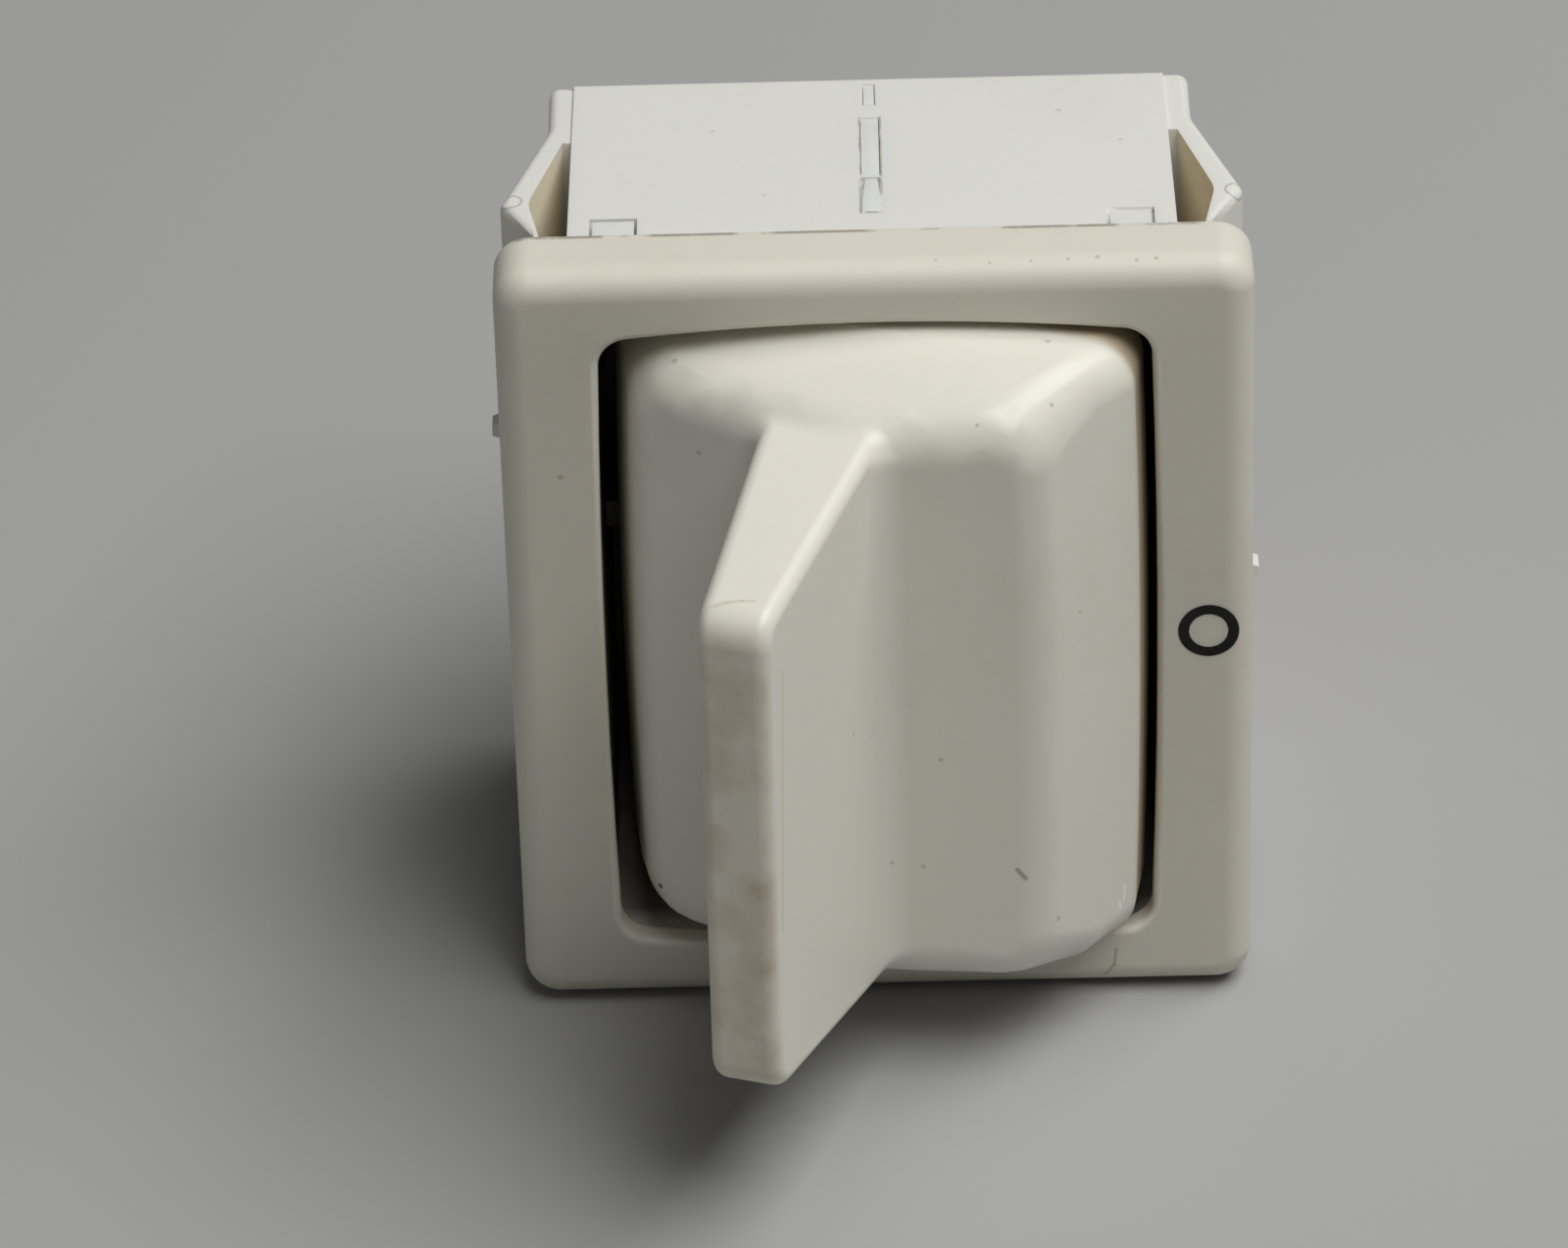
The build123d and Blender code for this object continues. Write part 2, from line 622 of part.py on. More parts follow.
def make_load_terminal(place):
    """Bent strip: a shelf for the fixed contact, then a blade out through the base."""
    out = load_blade_out + blade_thickness / 2
    face = make_face(Polyline((shelf_inner, shelf_front), (out, shelf_front), (out, base_front + 1),
                              (out - blade_thickness, base_front + 1), (out - blade_thickness, base_front),
                              (shelf_inner, base_front), close=True))
    face = round_corner(face, out, shelf_front, terminal_bend_radius)
    shelf = Pos(0, 0, place - shelf_width / 2) * extrude(face, shelf_width)
    blade = extrude(Plane.YZ * blade_face(base_front, place), blade_thickness / 2, both=True)
    shelf += Pos(load_blade_out, 0, 0) * blade
    x, y = fixed_contact_spot()
    shelf -= rod(contact_shank_radius + contact_fit, shelf_front - 1, base_front + 1, x=x, z=place)
    return pierce(shelf, load_blade_out, place)


def make_base():
    """Plate that closes the housing behind and carries the blades."""
    base = block(-base_half_width, base_half_width, base_front, housing_depth,
                 -base_half_height, base_half_height)
    snap_front = base_snap_depth - base_snap_length / 2
    for end in (-1, 1):
        snap = block(-base_snap_half_width, base_snap_half_width, snap_front, snap_front + base_snap_length,
                     end * (base_half_height - 1), end * (cavity_half_height + base_snap_height - base_clearance))
        base += snap
    slot_half = blade_thickness / 2 + blade_slot_clearance
    slot_top = blade_width / 2 + blade_slot_clearance
    for place in poles.values():
        base -= block(-slot_half, slot_half, base_front - 1, housing_depth + 1, place - slot_top, place + slot_top)
        base -= block(load_blade_out - slot_half, base_half_width + 1, base_front - 1, housing_depth + 1,
                      place - slot_top, place + slot_top)
        base += block(-arm_reach - rest_rib_out, rest_rib_in - arm_reach,
                      base_front - rest_rib_height, base_front + wall_bite,
                      place - rest_rib_width / 2, place + rest_rib_width / 2)
    return base


def save(name, shape):
    export_step(shape, f"parts/{name}.step")


def main():
    os.makedirs("parts", exist_ok=True)
    save("bezel_frame", make_bezel())
    save("housing", make_housing())
    save("rocker", make_rocker())
    save("terminal_base", make_base())
    for name, place in poles.items():
        save(f"plunger_{name}", make_plunger(place))
        save(f"plunger_spring_{name}", make_spring(place))
        save(f"contact_arm_{name}", make_arm(place))
        save(f"moving_contact_{name}", make_moving_contact(place))
        save(f"fixed_contact_{name}", make_fixed_contact(place))
        save(f"common_terminal_{name}", make_common_terminal(place))
        save(f"load_terminal_{name}", make_load_terminal(place))


main()
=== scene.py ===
import bpy, bmesh
from math import cos, sin, pi, radians
from mathutils import Matrix, Vector


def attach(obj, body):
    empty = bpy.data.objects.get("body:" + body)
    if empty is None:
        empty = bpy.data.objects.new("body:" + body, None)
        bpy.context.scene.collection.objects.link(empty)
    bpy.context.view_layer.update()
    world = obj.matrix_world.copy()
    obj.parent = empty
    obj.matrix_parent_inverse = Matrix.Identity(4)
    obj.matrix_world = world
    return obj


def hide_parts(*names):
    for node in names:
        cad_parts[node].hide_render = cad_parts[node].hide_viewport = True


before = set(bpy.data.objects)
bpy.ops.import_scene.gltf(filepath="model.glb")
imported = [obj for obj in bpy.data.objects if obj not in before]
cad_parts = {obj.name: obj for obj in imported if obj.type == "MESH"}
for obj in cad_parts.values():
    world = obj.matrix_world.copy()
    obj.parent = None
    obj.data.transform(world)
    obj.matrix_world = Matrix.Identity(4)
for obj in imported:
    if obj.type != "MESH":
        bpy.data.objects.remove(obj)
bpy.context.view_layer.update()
mm = 0.001  # lengths below are in millimetres, and only the lamps' are in metres
print("frame loaded:", len(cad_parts), "nodes")


# A socket that can be used in sums, so shader maths reads as plain expressions
class Wire:
    def __init__(self, tree, socket):
        self.tree = tree
        self.socket = socket

    def math(self, operation, *others):
        return self.tree.maths(operation, self, *others)

    def clamp(self):
        return self.tree.node("ShaderNodeClamp", {}, [self, 0.0, 1.0])

    def __add__(self, other):
        return self.math("ADD", other)

    def __sub__(self, other):
        return self.math("SUBTRACT", other)

    def __rsub__(self, other):
        return self.tree.maths("SUBTRACT", other, self)

    def __mul__(self, other):
        return self.math("MULTIPLY", other)

    def __truediv__(self, other):
        return self.math("DIVIDE", other)

    __radd__ = __add__
    __rmul__ = __mul__


# One material's nodes; all but its shader and its output are made by node()
class Finish:
    markCore = 0.4  # the share of a mark's radius that is solid, before it fades out

    def __init__(self, name):
        self.material = bpy.data.materials.new(name)
        self.material.use_nodes = True
        self.nodes = self.material.node_tree.nodes
        self.links = self.material.node_tree.links
        self.nodes.clear()
        self.shader = self.nodes.new("ShaderNodeBsdfPrincipled")
        output = self.nodes.new("ShaderNodeOutputMaterial")
        self.links.new(self.shader.outputs["BSDF"], output.inputs["Surface"])
        self.place = self.node("ShaderNodeTexCoord", {}, {}, "Object")

    def node(self, kind, settings, inputs, output=0):
        made = self.nodes.new(kind)
        for key, value in settings.items():
            setattr(made, key, value)
        pairs = inputs.items() if isinstance(inputs, dict) else enumerate(inputs)
        for key, value in pairs:
            self.feed(made.inputs[key], value)
        return Wire(self, made.outputs[output])

    def feed(self, socket, value):
        if isinstance(value, Wire):
            self.links.new(value.socket, socket)
        else:
            socket.default_value = value

    def set(self, **sockets):
        for key, value in sockets.items():
            self.feed(self.shader.inputs[key.replace("_", " ")], value)

    def maths(self, operation, *values):
        return self.node("ShaderNodeMath", {"operation": operation}, values)

    def vectors(self, operation, inputs, output=0):
        return self.node("ShaderNodeVectorMath", {"operation": operation}, inputs, output)

    def axis(self, letter):
        return self.node("ShaderNodeSeparateXYZ", {}, [self.place], letter)

    def away(self, point):
        return self.vectors("DISTANCE", [self.place, Vector(point) * mm], "Value")

    def noise(self, scale, detail=3.0, roughness=0.55):
        return self.node("ShaderNodeTexNoise", {}, {"Vector": self.place, "Scale": scale, "Detail": detail,
                                                    "Roughness": roughness}, "Fac")

    def ramp(self, value, low, high):
        return self.node("ShaderNodeMapRange", {"clamp": True},
                         {"Value": value, "From Min": low, "From Max": high, "To Min": 0.0, "To Max": 1.0})

    def rise(self, length, low, high):
        return self.ramp(length, low * mm, high * mm)

    def fall(self, length, low, high):
        return 1 - self.rise(length, low, high)

    def between(self, length, low, high, soft):
        return self.rise(length, low - soft, low) * self.fall(length, high, high + soft)

    def blend(self, factor, first, second):
        def colour(value):
            return value if isinstance(value, Wire) else (*value, 1.0)
        return self.node("ShaderNodeMix", {"data_type": "RGBA", "blend_type": "MIX"},
                         {0: factor, 6: colour(first), 7: colour(second)}, 2)

    def paint(self, colour):
        self.colour = colour
        self.set(Base_Color=colour)

    def stain(self, mask, values):
        self.paint(self.blend(mask * values["share"], self.colour, values["colour"]))

    def mark(self, reach, radius, values):
        self.stain(self.fall(reach, radius * self.markCore, radius), values)

    def specks(self, values):
        for *point, radius in values["places"]:
            self.mark(self.away(point), radius, values)

    def strokes(self, values):
        for start, end, radius in values["lines"]:
            first = Vector(start) * mm
            along = Vector(end) * mm - first
            past = self.vectors("SUBTRACT", [self.place, first])
            share = self.vectors("DOT_PRODUCT", [past, along], "Value") / along.length_squared
            nearest = self.vectors("SCALE", {"Vector": along, "Scale": share.clamp()})
            self.mark(self.vectors("DISTANCE", [past, nearest], "Value"), radius, values)

    def bump(self, scale, strength, distance):
        grain = self.noise(scale, 2.0)
        self.set(Normal=self.node("ShaderNodeBump", {}, {"Height": grain, "Strength": strength,
                                                         "Distance": distance * mm}))


plastic = {
    "bezel": {"colour": (0.71, 0.68, 0.585), "soil": (0.52, 0.46, 0.35), "rough": 0.5},
    "housing": {"colour": (0.735, 0.73, 0.685), "soil": (0.58, 0.55, 0.47), "rough": 0.55},
    "rocker": {"colour": (0.78, 0.76, 0.67), "soil": (0.62, 0.56, 0.44), "rough": 0.38},
    "base": {"colour": (0.62, 0.60, 0.54), "soil": (0.45, 0.41, 0.33), "rough": 0.6},
    "plunger": {"colour": (0.66, 0.65, 0.60), "soil": (0.5, 0.47, 0.4), "rough": 0.4},
}
moulded = {
    "broad": (90.0, 4.0), "broadShare": 0.7, "fine": 900.0, "grime": (0.5, 0.72), "grimeShare": 0.18,
    "roughSpread": 0.12, "bump": (2600.0, 0.12, 0.04),
    "glow": 0.25, "glowRadius": (1.0, 0.72, 0.42), "glowReach": 1.2,
}


# Aged white plastic: faintly blotched, with a fine grain, and light that reaches a little way in
def mouldedPlastic(name, values, common):
    finish = Finish(name)
    broad = finish.noise(*common["broad"])
    fine = finish.noise(common["fine"])
    broadShare = common["broadShare"]
    grime = finish.ramp(broadShare * broad + (1 - broadShare) * fine, *common["grime"])
    finish.paint(finish.blend(grime * common["grimeShare"], values["colour"], values["soil"]))
    finish.set(Roughness=values["rough"] + (fine - 0.5) * common["roughSpread"],
               Subsurface_Weight=common["glow"], Subsurface_Radius=common["glowRadius"],
               Subsurface_Scale=common["glowReach"] * mm)
    finish.bump(*common["bump"])
    return finish


metal = {
    "brass": {"colour": (0.72, 0.56, 0.27), "dull": (0.42, 0.31, 0.16), "rough": 0.32},
    "copper": {"colour": (0.74, 0.42, 0.26), "dull": (0.40, 0.22, 0.14), "rough": 0.34},
    "silver": {"colour": (0.78, 0.77, 0.74), "dull": (0.45, 0.43, 0.40), "rough": 0.28},
    "steel": {"colour": (0.58, 0.58, 0.59), "dull": (0.34, 0.33, 0.32), "rough": 0.3},
}
rolled = {"cloud": (350.0, 5.0, 0.65), "tarnish": (0.45, 0.75), "dullShare": 0.5, "roughRise": 0.15,
          "bump": (3000.0, 0.1, 0.02)}


def rolledMetal(name, values, common):
    finish = Finish(name)
    tarnish = finish.ramp(finish.noise(*common["cloud"]), *common["tarnish"])
    finish.set(Base_Color=finish.blend(tarnish * common["dullShare"], values["colour"], values["dull"]),
               Metallic=1.0, Roughness=values["rough"] + tarnish * common["roughRise"])
    finish.bump(*common["bump"])
    return finish


finishes = {name: mouldedPlastic(f"{name}_plastic", values, moulded) for name, values in plastic.items()}
finishes.update({name: rolledMetal(name, values, rolled) for name, values in metal.items()})

# Places are points on the surface and a radius, lines are their two ends and a radius
rockerWearAndPaintedShade = {
    "lean": 18.0, "pivot": -0.4, "cloud": (420.0, 4.0),
    # flank and skirt are painted shade: a warm brown for the gap's shade on the left flank, a dark brown
    # below the rim
    "flank": {"colour": (0.72, 0.63, 0.46), "share": 0.4, "side": (-8.9, -8.4), "height": (4.6, 5.3)},
    "skirt": {"colour": (0.42, 0.33, 0.21), "share": 0.85, "height": (-0.2, 0.5)},
    "tip": {"colour": (0.62, 0.55, 0.43), "share": 1.0, "height": (18.2, 18.7), "patches": (0.4, 0.62),
            "least": 0.3, "spread": 0.6},
    "blotches": {"colour": (0.42, 0.33, 0.24), "share": 0.4, "patches": (0.42, 0.62),
                 "places": [(-5.31, -18.39, 1.61, 1.0), (-5.19, -18.43, -1.07, 0.9),
                            (-4.88, -18.52, -5.11, 0.8), (-5.16, -18.44, -8.3, 1.3)]},
    "dots": {"colour": (0.05, 0.045, 0.04), "share": 0.95, "places": [(-9.27, -3.38, -11.62, 0.17)]},
    "lint": {"colour": (0.30, 0.28, 0.25), "share": 0.75,
             "lines": [((5.26, -8.38, -7.66), (5.6, -8.36, -8.12), 0.13)]},
    "burrs": {"colour": (0.95, 0.93, 0.86), "share": 0.9,
              "lines": [((9.72, -4.57, -11.3), (9.68, -4.6, -11.95), 0.12),
                        ((9.5, -4.8, -11.95), (9.55, -4.74, -12.3), 0.1)]},
    "seams": {"colour": (0.56, 0.50, 0.38), "share": 0.45,
              "lines": [((-6.45, -17.1, 11.2), (-5.9, -16.97, 11.28), 0.13),
                        ((-5.9, -16.97, 11.28), (-5.3, -16.94, 11.31), 0.12),
                        ((-5.3, -16.94, 11.31), (-4.85, -17.0, 11.32), 0.1),
                        ((-3.83, -17.28, 8.2), (-4.12, -17.97, -3.5), 0.1)]},
    "flecks": {"colour": (0.30, 0.28, 0.25), "share": 0.5,
               "places": [(-1.19, -10.99, 0.92, 0.13), (2.26, -8.27, -2.28, 0.12),
                          (6.92, -7.67, -10.64, 0.14), (0.22, -8.43, -7.15, 0.12),
                          (1.48, -8.24, -7.51, 0.13), (3.91, -7.71, 13.13, 0.11), (7.9, -6.79, 3.68, 0.1),
                          (-7.03, -5.05, 10.46, 0.15), (-7.91, -3.14, 13.56, 0.15),
                          (6.79, -3.69, 14.41, 0.16), (6.85, -6.7, 13.36, 0.12)]},
}


# The rocker's marks are laid in its own upright axes: painted warm shade on its left flank and painted shade
# below its rim, a handled look at the fin's tip, and specks, lint, burrs and seams
def rockerSoilAndPaintedShade(finish, values):
    turn = radians(values["lean"])
    x = finish.axis("X")
    y = finish.axis("Y") - values["pivot"] * mm
    height = 0 - (x * sin(turn) + y * cos(turn))
    side = x * cos(turn) - y * sin(turn)
    cloud = finish.noise(*values["cloud"])
    flank, skirt, tip, blotches = (values[name] for name in ("flank", "skirt", "tip", "blotches"))
    # Painted warm shade on the left flank, in the gap beside the frame
    finish.stain(finish.fall(side, *flank["side"]) * finish.fall(height, *flank["height"]), flank)
    # Painted shade below the rim, inside the opening
    finish.stain(finish.fall(height, *skirt["height"]), skirt)
    handled = tip["least"] + finish.ramp(cloud, *tip["patches"]) * tip["spread"]
    finish.stain(finish.rise(height, *tip["height"]) * handled, tip)
    patches = finish.ramp(cloud, *blotches["patches"])
    for *point, radius in blotches["places"]:
        finish.stain(finish.fall(finish.away(point), 0.0, radius) * patches, blotches)
    finish.specks(values["dots"])
    finish.strokes(values["lint"])
    finish.strokes(values["burrs"])
    finish.strokes(values["seams"])
    finish.specks(values["flecks"])


rockerSoilAndPaintedShade(finishes["rocker"], rockerWearAndPaintedShade)

# The slot's rear and front are a depth, the slot's width there and how much it widens with each mm from there
housingWearAndPaintedLight = {
    "top": (16.0, 16.1),
    "edge": {"colour": (0.40, 0.35, 0.29), "share": 0.7, "across": (0.38, 0.46, 0.03),
             "along": (3.4, 10.95, 0.05), "cloud": 700.0, "broken": (0.38, 0.55)},
    # slot is painted light: the wings' slots are made lighter and warmer where light reaches in
    "slot": {"colour": (0.86, 0.78, 0.60), "share": 0.8, "wall": 12.15, "inner": (-0.4, -0.3),
             "rear": (9.6, 0.42, 0.283), "front": (0.9, 0.97, 0.183), "outer": (0.0, 0.05),
             "end": (8.7, 9.7)},
    # cavityShade is painted shade on the housing's inner walls
    "cavityShade": {"colour": (0.24, 0.21, 0.17), "share": 0.8, "across": (11.25, 11.35), "up": (15.15, 15.25),
             "depth": (-1.0, 0.0)},
    "rings": {"colour": (0.42, 0.40, 0.36), "share": 0.7, "width": 0.07, "soft": 0.04,
              "places": [(-14.45, 5.14, 16.08, 0.48), (14.6, 4.8, 16.08, 0.48)]},
    "flecks": {"colour": (0.42, 0.40, 0.36), "share": 0.5,
               "places": [(-6.36, 10.09, 16.2, 0.13), (-4.31, 4.98, 16.2, 0.11), (7.69, 11.16, 16.2, 0.16),
                          (10.1, 8.7, 16.2, 0.12)]},
}


# Broken dark lines along the sunk marks, painted light in the wings' slots, painted shade inside the housing,
# and pin marks on the wings
def housingSoilAndPaintedLight(finish, values):
    x = finish.axis("X").math("ABSOLUTE")
    y = finish.axis("Y")
    z = finish.axis("Z").math("ABSOLUTE")
    outside = finish.rise(z, *values["top"])
    edge, slot, cavityShade, rings = (values[name] for name in ("edge", "slot", "cavityShade", "rings"))
    beside = finish.between(x, *edge["across"]) * finish.between(y, *edge["along"])
    broken = finish.ramp(finish.noise(edge["cloud"]), *edge["broken"])
    finish.stain(beside * outside * broken, edge)
    rear, rearWidth, rearSlope = slot["rear"]
    front, frontWidth, frontSlope = slot["front"]
    widthBehind = (rear * mm - y) * rearSlope + rearWidth * mm
    widthAhead = (y - front * mm) * frontSlope + frontWidth * mm
    out = x - slot["wall"] * mm
    beyond = out - widthBehind.math("MINIMUM", widthAhead)
    inSlot = finish.rise(out, *slot["inner"]) * finish.fall(beyond, *slot["outer"])
    # Painted light in the wings' slots
    finish.stain(inSlot * finish.fall(y, *slot["end"]) * (1 - outside), slot)
    # Painted shade on the housing's inner walls
    within = finish.fall(x, *cavityShade["across"]) * finish.fall(z, *cavityShade["up"])
    finish.stain(within * finish.rise(y, *cavityShade["depth"]), cavityShade)
    for *point, radius in rings["places"]:
        ring = finish.between(finish.away(point), radius - rings["width"], radius, rings["soft"])
        finish.stain(ring, rings)
    finish.specks(values["flecks"])


housingSoilAndPaintedLight(finishes["housing"], housingWearAndPaintedLight)

# The opening's ends stand out by bow at their middle; the painted light fades over edgeFade, outside the
# opening's outline
bezelWearAndPaintedLight = {
    "opening": {"end": 15.05, "bow": 0.65, "bowHalf": 10.9, "side": 11.1, "corner": 1.3, "edgeFade": (0.1, 0.2),
                "front": (-2.75, -2.55)},
    # edgeHighlight is a painted highlight along the opening's edge
    "edgeHighlight": {"colour": (0.90, 0.86, 0.77), "share": 0.6},
    # inside is painted light on the opening's inner walls
    "inside": {"colour": (0.86, 0.79, 0.64), "share": 0.7},
    # rim is a painted shadow line along the frame's rear rim
    "rim": {"colour": (0.30, 0.26, 0.21), "share": 0.85, "depth": (-0.24, -0.14), "up": (17.3, 17.4),
            "cloud": (420.0, 4.0), "broken": (0.44, 0.52)},
    "tongue": {"colour": (0.735, 0.73, 0.685), "share": 1.0, "depth": (0.1, 0.2)},
    "flecks": {"colour": (0.36, 0.27, 0.17), "share": 0.55,
               "places": [(10.34, -2.55, 17.36, 0.1), (8.81, -2.38, 17.43, 0.12), (6.2, -2.49, 17.39, 0.08),
                          (4.58, -2.53, 17.37, 0.09), (11.11, -2.49, 17.39, 0.12), (2.47, -2.34, 17.45, 0.08),
                          (7.66, -2.44, 17.41, 0.1), (-12.6, -3.2, 8.27, 0.16)]},
    "hair": {"colour": (0.30, 0.26, 0.21), "share": 0.5,
             "lines": [((8.96, -3.1, -16.79), (9.32, -3.2, -16.27), 0.1),
                       ((9.32, -3.2, -16.27), (9.41, -3.2, -15.47), 0.09)]},
}


# The frame's opening gets a painted highlight along its front edge and painted light on its inner walls; its
# rear rim gets a broken painted shadow line
def bezelSoilAndPaintedLight(finish, values):
    x = finish.axis("X")
    y = finish.axis("Y")
    z = finish.axis("Z").math("ABSOLUTE")
    opening, rim, tongue = (values[name] for name in ("opening", "rim", "tongue"))
    corner = opening["corner"]
    across = x / (opening["bowHalf"] * mm)
    pastEnd = z - (opening["end"] - corner) * mm + across * across * (opening["bow"] * mm)
    pastSide = x.math("ABSOLUTE") - (opening["side"] - corner) * mm
    endSquared, sideSquared = (past.math("MAXIMUM", 0.0).math("POWER", 2.0) for past in (pastEnd, pastSide))
    reach = (endSquared + sideSquared).math("SQRT") - corner * mm
    around = finish.fall(reach, *opening["edgeFade"])
    behind = finish.rise(y, *opening["front"])
    # Painted highlight along the opening's front edge
    finish.stain(around * (1 - behind), values["edgeHighlight"])
    # Painted light on the opening's inner walls
    finish.stain(around * behind, values["inside"])
    # A broken painted shadow line along the rear rim
    broken = finish.ramp(finish.noise(*rim["cloud"]), *rim["broken"])
    finish.stain(finish.rise(y, *rim["depth"]) * finish.rise(z, *rim["up"]) * broken, rim)
    finish.stain(finish.rise(y, *tongue["depth"]), tongue)
    finish.specks(values["flecks"])
    finish.strokes(values["hair"])


bezelSoilAndPaintedLight(finishes["bezel"], bezelWearAndPaintedLight)

# Painted shade inside the cavity, on the base's inner face
basePaintedShade = {"cavityShade": {"colour": (0.24, 0.21, 0.17), "share": 0.8, "depth": (12.1, 12.3)}}


# Painted shade on the base's inner face
def paintBaseShade(finish, values):
    cavityShade = values["cavityShade"]
    finish.stain(finish.fall(finish.axis("Y"), *cavityShade["depth"]), cavityShade)


paintBaseShade(finishes["base"], basePaintedShade)

inkWear = {"deep": (0.008, 0.008, 0.008), "rubbed": (0.02, 0.018, 0.016), "cloud": 1500.0,
           "patches": (0.35, 0.75), "rough": 0.6, "specular": 0.2}


def printedInk(name, values):
    finish = Finish(name)
    rubbed = finish.ramp(finish.noise(values["cloud"]), *values["patches"])
    finish.set(Base_Color=finish.blend(rubbed, values["deep"], values["rubbed"]), Roughness=values["rough"],
               Specular_IOR_Level=values["specular"])
    return finish


finishes["ink"] = printedInk("printed_ink", inkWear)
print("finishes:", len(finishes))

wearsFinish = {"terminal_base": "base", "plunger_spring": "steel", "plunger": "plunger",
               "contact_arm": "copper", "moving_contact": "silver", "fixed_contact": "silver",
               "common_terminal": "brass", "load_terminal": "brass"}
for name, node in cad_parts.items():
    for start, finishName in wearsFinish.items():
        if name.startswith(start):
            node.data.materials.clear()
            node.data.materials.append(finishes[finishName].material)
            break
print("CAD nodes dressed")


def pieceFrom(mesh, name, finish):
    data = bpy.data.meshes.new(name)
    mesh.to_mesh(data)
    mesh.free()
    data.materials.append(finish.material)
    piece = bpy.data.objects.new(name, data)
    bpy.context.collection.objects.link(piece)
    return piece


def smoothShade(piece, sharpAngle):
    piece.data.shade_smooth()
    piece.data.set_sharp_from_angle(angle=radians(sharpAngle))


smoothing = {"weld": 0.001, "flat": 0.4, "sharp": 28, "weight": 100}


# The three big mouldings are shown as smooth-shaded copies of their CAD nodes
def dressedCopy(node, finishName, body, values):
    mesh = bmesh.new()
    mesh.from_mesh(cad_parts[node].data)
    bmesh.ops.remove_doubles(mesh, verts=mesh.verts, dist=values["weld"] * mm)
    bmesh.ops.dissolve_limit(mesh, angle_limit=radians(values["flat"]), verts=mesh.verts, edges=mesh.edges)
    piece = pieceFrom(mesh, f"{node}_skin", finishes[finishName])
    smoothShade(piece, values["sharp"])
    evenShading = piece.modifiers.new("even_shading", "WEIGHTED_NORMAL")
    evenShading.weight = values["weight"]
    evenShading.keep_sharp = True
    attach(piece, body)
    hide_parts(node)


dressedCopy("bezel_frame", "bezel", "case", smoothing)
dressedCopy("housing", "housing", "case", smoothing)
dressedCopy("rocker", "rocker", "rocker", smoothing)
print("mouldings shown")

offMark = {"x": 13.18, "z": 0.24, "outer": 1.23, "stroke": 0.44, "thick": 0.02, "front": -3.2, "steps": 96}


def printedRing(values):
    mesh = bmesh.new()
    rim = bmesh.ops.create_circle(mesh, cap_ends=False, segments=values["steps"],
                                  radius=values["outer"] * mm)["verts"]
    edges = [edge for edge in mesh.edges if edge.verts[0] in rim]
    made = bmesh.ops.extrude_edge_only(mesh, edges=edges)["geom"]
    inner = [part for part in made if isinstance(part, bmesh.types.BMVert)]
    shrink = 1 - values["stroke"] / values["outer"]
    bmesh.ops.scale(mesh, vec=(shrink, shrink, 1), verts=inner)
    bmesh.ops.rotate(mesh, cent=(0, 0, 0), matrix=Matrix.Rotation(pi / 2, 3, "X"), verts=mesh.verts)
    place = Vector((values["x"], values["front"] - values["thick"], values["z"])) * mm
    bmesh.ops.translate(mesh, vec=place, verts=mesh.verts)
    bmesh.ops.recalc_face_normals(mesh, faces=mesh.faces)
    if mesh.faces[:][0].normal.y > 0:
        bmesh.ops.reverse_faces(mesh, faces=mesh.faces)
    piece = pieceFrom(mesh, "off_mark", finishes["ink"])
    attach(piece, "case")


printedRing(offMark)
print("off mark printed")

# What fills the sunk marks in the housing's top and bottom to just under the face: half its width at its two
# ends, where it starts and stops along Y, how high it starts and stops in Z, and the round of its outer edges
markFills = {
    "groove": {"half": (0.38, 0.38), "from": 6.42, "to": 10.88, "height": (15.6, 16.12), "round": 0.05},
    "window": {"half": (0.23, 0.23), "from": 11.92, "to": 13.58, "height": (15.6, 16.12), "round": 0.04},
    "plug": {"half": (0.46, 0.26), "from": 3.5, "to": 6.05, "height": (15.95, 16.24), "round": 0.05},
}
fillEdge = {"steps": 3, "sharp": 40}


def sunkFill(name, values, side, edge):
    mesh = bmesh.new()
    bmesh.ops.create_cube(mesh, size=1.0)
    outer = [line for line in mesh.edges if all(vert.co.z > 0 for vert in line.verts)]
    low, high = values["height"]
    front, rear = zip((values["from"], values["to"]), values["half"])
    for vert in mesh.verts:
        along, half = front if vert.co.y < 0 else rear
        up = low if vert.co.z < 0 else high
        vert.co = Vector((2 * vert.co.x * half, along, side * up)) * mm
    bmesh.ops.bevel(mesh, geom=outer, offset=values["round"] * mm, affect="EDGES", segments=edge["steps"],
                    profile=0.5, material=-1)
    bmesh.ops.recalc_face_normals(mesh, faces=mesh.faces)
    piece = pieceFrom(mesh, name, finishes["housing"])
    smoothShade(piece, edge["sharp"])
    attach(piece, "case")


for side, end in ((1, "top"), (-1, "bottom")):
    for name, values in markFills.items():
        sunkFill(f"{name}_fill_{end}", values, side, fillEdge)
print("sunk marks filled")

stand = {"front": (0.0, -17.5), "rear": (14.25, -16.2), "below": 0.02, "half": 1200.0, "cells": 2,
         "colour": (0.39, 0.39, 0.385), "rough": 0.9}


# The switch lies on its frame's lower edge and its housing's rear edge; the floor passes just under both
def paleFloor(values):
    (y0, z0), (y1, z1) = values["front"], values["rear"]
    slope = (z1 - z0) / (y1 - y0)
    mesh = bmesh.new()
    cells = values["cells"]
    bmesh.ops.create_grid(mesh, x_segments=cells, y_segments=cells, size=values["half"] * mm)
    for vert in mesh.verts:
        vert.co.z = (z0 - values["below"]) * mm + slope * (vert.co.y - y0 * mm)
    cover = Finish("floor_paper")
    cover.set(Base_Color=(*values["colour"], 1.0), Roughness=values["rough"])
    floor = pieceFrom(mesh, "floor", cover)


paleFloor(stand)

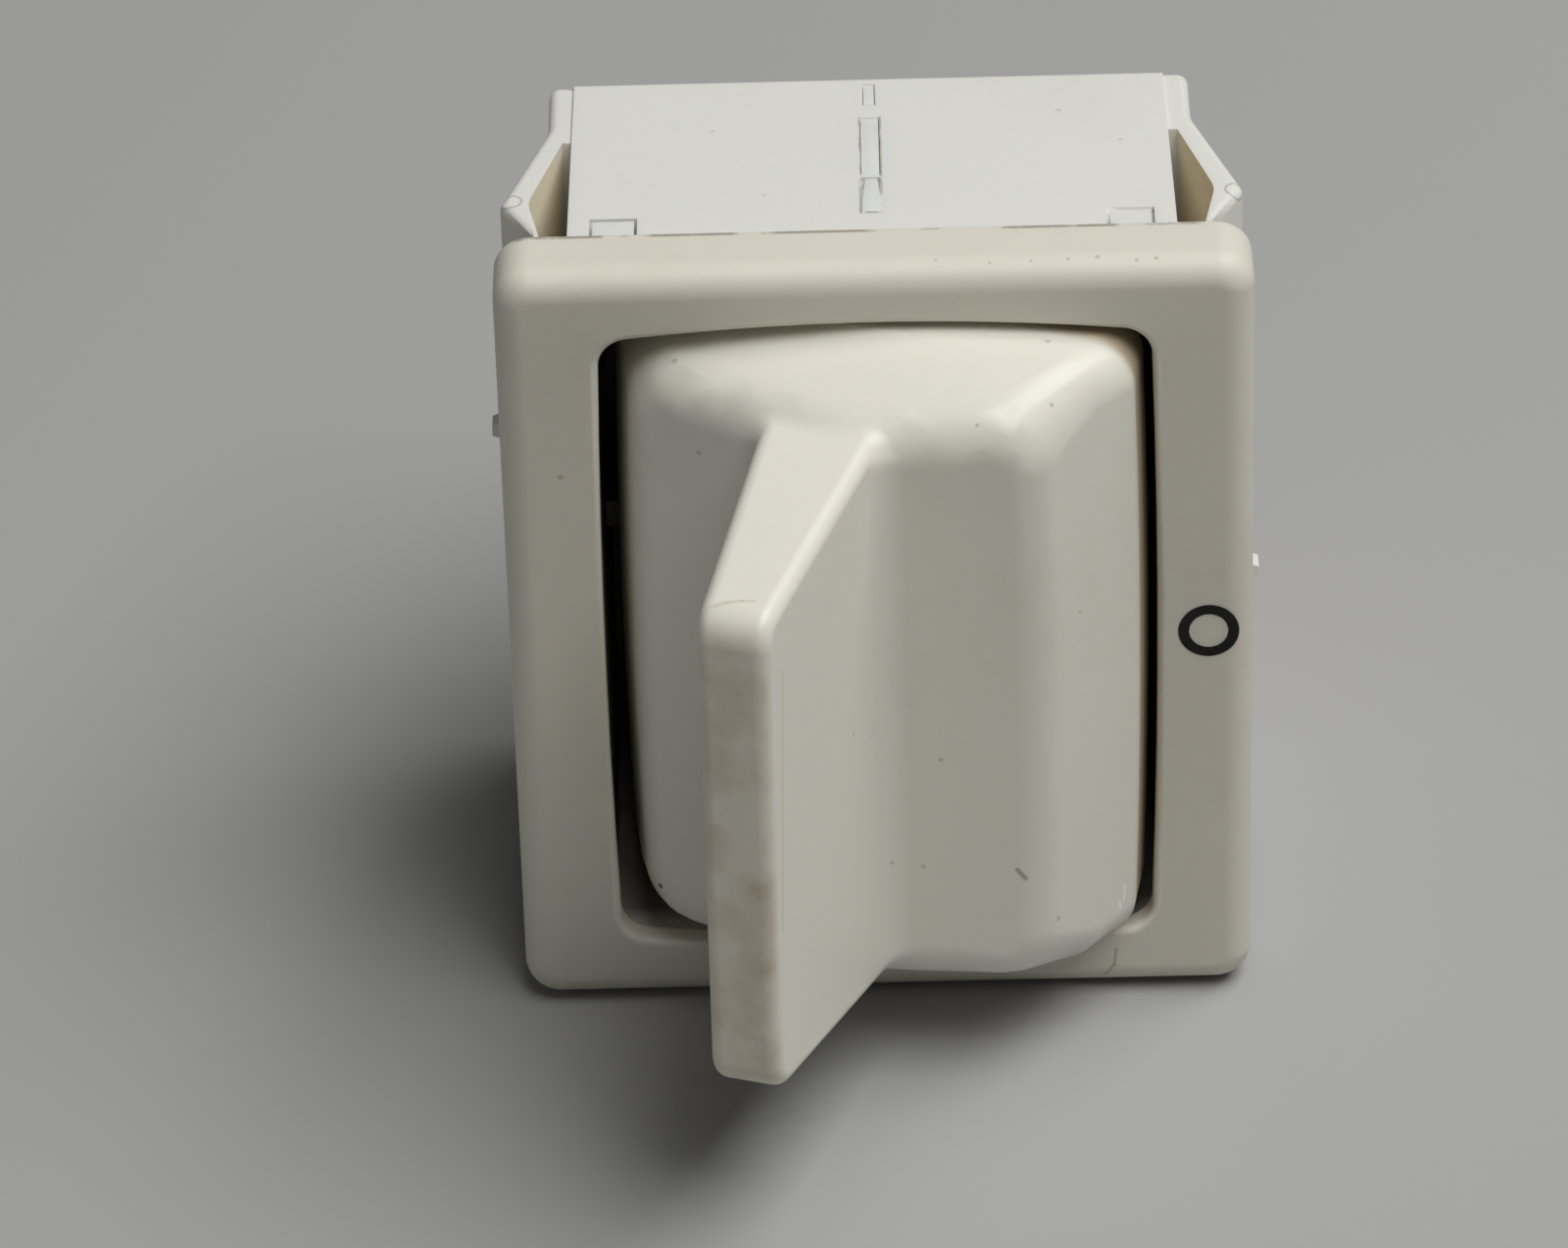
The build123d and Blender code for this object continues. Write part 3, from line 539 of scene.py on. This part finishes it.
# Camera as worked out from the photograph: lens, place, and a small roll
view = {"lens": 197.94, "sensor": 36.0, "clip": (10.0, 20000.0), "target": (-3.932, 0.0, -1.121),
        "distance": 350.395, "rise": 33.767, "turn": 0.689, "roll": -1.701}


def photoCamera(values):
    rise, turn, roll = (radians(values[key]) for key in ("rise", "turn", "roll"))
    back = Vector((sin(turn) * cos(rise), -cos(turn) * cos(rise), sin(rise)))
    level = Vector((cos(turn), sin(turn), 0))
    upright = back.cross(level)
    right = level * cos(roll) + upright * sin(roll)
    up = upright * cos(roll) - level * sin(roll)
    data = bpy.data.cameras.new("photo_view")
    data.lens = values["lens"]
    data.sensor_width = values["sensor"]
    data.clip_start, data.clip_end = (reach * mm for reach in values["clip"])
    camera = bpy.data.objects.new("photo_view", data)
    place = Matrix((right, up, back)).transposed().to_4x4()
    place.translation = (Vector(values["target"]) + back * values["distance"]) * mm
    camera.matrix_world = place
    bpy.context.collection.objects.link(camera)
    bpy.context.scene.camera = camera


photoCamera(view)

lamps = {
    "sky": {"place": (0.20, -0.08, 0.50), "size": (0.55, 0.32), "power": 3.35, "tint": (1.0, 1.0, 1.0)},
    "left": {"place": (-0.45, -0.10, 0.08), "size": (0.3, 0.3), "power": 0.12, "tint": (0.98, 0.985, 1.0)},
}


def softLamp(name, values):
    data = bpy.data.lights.new(name, "AREA")
    data.shape = "RECTANGLE"
    data.size, data.size_y = values["size"]
    data.energy = values["power"]
    data.color = values["tint"]
    lamp = bpy.data.objects.new(name, data)
    place = Vector(values["place"])
    lamp.location = place
    lamp.rotation_euler = (-place).to_track_quat("-Z", "Y").to_euler()
    bpy.context.collection.objects.link(lamp)


for name, values in lamps.items():
    softLamp(name, values)

air = {"colour": (1.0, 1.0, 1.0, 1.0), "strength": 0.045}


def studioWorld(values):
    world = bpy.data.worlds.new("studio")
    bpy.context.scene.world = world
    world.use_nodes = True
    background = world.node_tree.nodes["Background"]
    background.inputs["Color"].default_value = values["colour"]
    background.inputs["Strength"].default_value = values["strength"]


studioWorld(air)
bpy.context.scene.view_settings.view_transform = "Standard"
print("stage, camera and lamps set")
